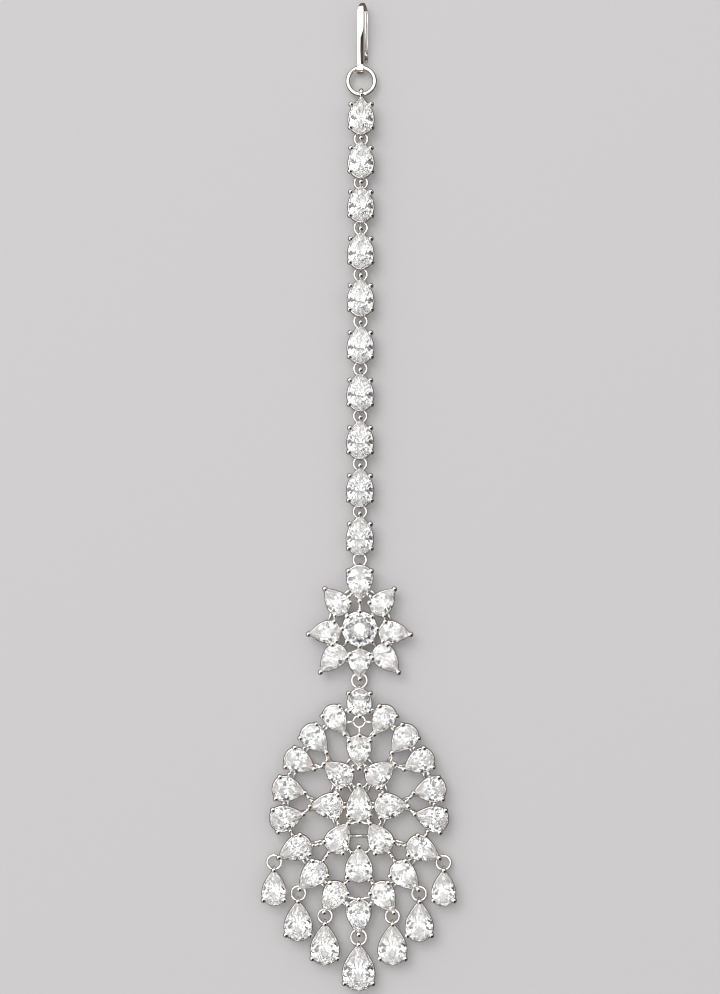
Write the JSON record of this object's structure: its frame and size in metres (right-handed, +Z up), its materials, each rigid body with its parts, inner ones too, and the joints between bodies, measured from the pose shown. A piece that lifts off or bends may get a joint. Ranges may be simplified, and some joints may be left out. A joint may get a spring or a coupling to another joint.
{
  "type": "maang tikka",
  "caption": "Hair jewel of clear cut stones in silver-coloured prong settings: hook, ring, linked chain, star flower and a pierced pendant with pear drops.",
  "frame": {"origin": "middle of the jewel's box, on the surface that it lies on", "axes": "+Z up out of the surface, +Y along the jewel from the drops to the hook, +X across it"},
  "size_m": [0.0314, 0.1582, 0.0035],
  "materials": {
    "metal": "polished silver-coloured plating",
    "stone": "clear cut stone, polished",
    "set_stone": "clear cut stone with its polished silver-coloured setting"
  },
  "bodies": {
    "root": {"hook": "metal", "top_ring": "metal", "chain_station_01": "set_stone", "chain_station_02": "set_stone", "chain_station_03": "set_stone", "chain_station_04": "set_stone", "chain_station_05": "set_stone", "chain_station_06": "set_stone", "chain_station_07": "set_stone", "chain_station_08": "set_stone", "chain_station_09": "set_stone", "chain_station_10": "set_stone", "chain_link_01": "metal", "chain_link_02": "metal", "chain_link_03": "metal", "chain_link_04": "metal", "chain_link_05": "metal", "chain_link_06": "metal", "chain_link_07": "metal", "chain_link_08": "metal", "chain_link_09": "metal", "chain_link_10": "metal", "flower_frame": "metal", "flower_centre_stone": "stone", "flower_petal_top_stone": "stone", "flower_petal_1_stone": "stone", "flower_petal_2_stone": "stone", "flower_petal_3_stone": "stone", "flower_petal_4_stone": "stone", "flower_petal_5_stone": "stone", "flower_petal_6_stone": "stone", "flower_petal_7_stone": "stone", "pendant_ring": "metal", "pendant_net": "set_stone", "drop_ring_1": "metal", "drop_ring_2": "metal", "drop_ring_3": "metal", "drop_ring_4": "metal", "drop_ring_5": "metal", "drop_ring_6": "metal", "drop_ring_7": "metal", "drop_1": "set_stone", "drop_2": "set_stone", "drop_3": "set_stone", "drop_4": "set_stone", "drop_5": "set_stone", "drop_6": "set_stone", "drop_7": "set_stone"}
  },
  "joints": []
}
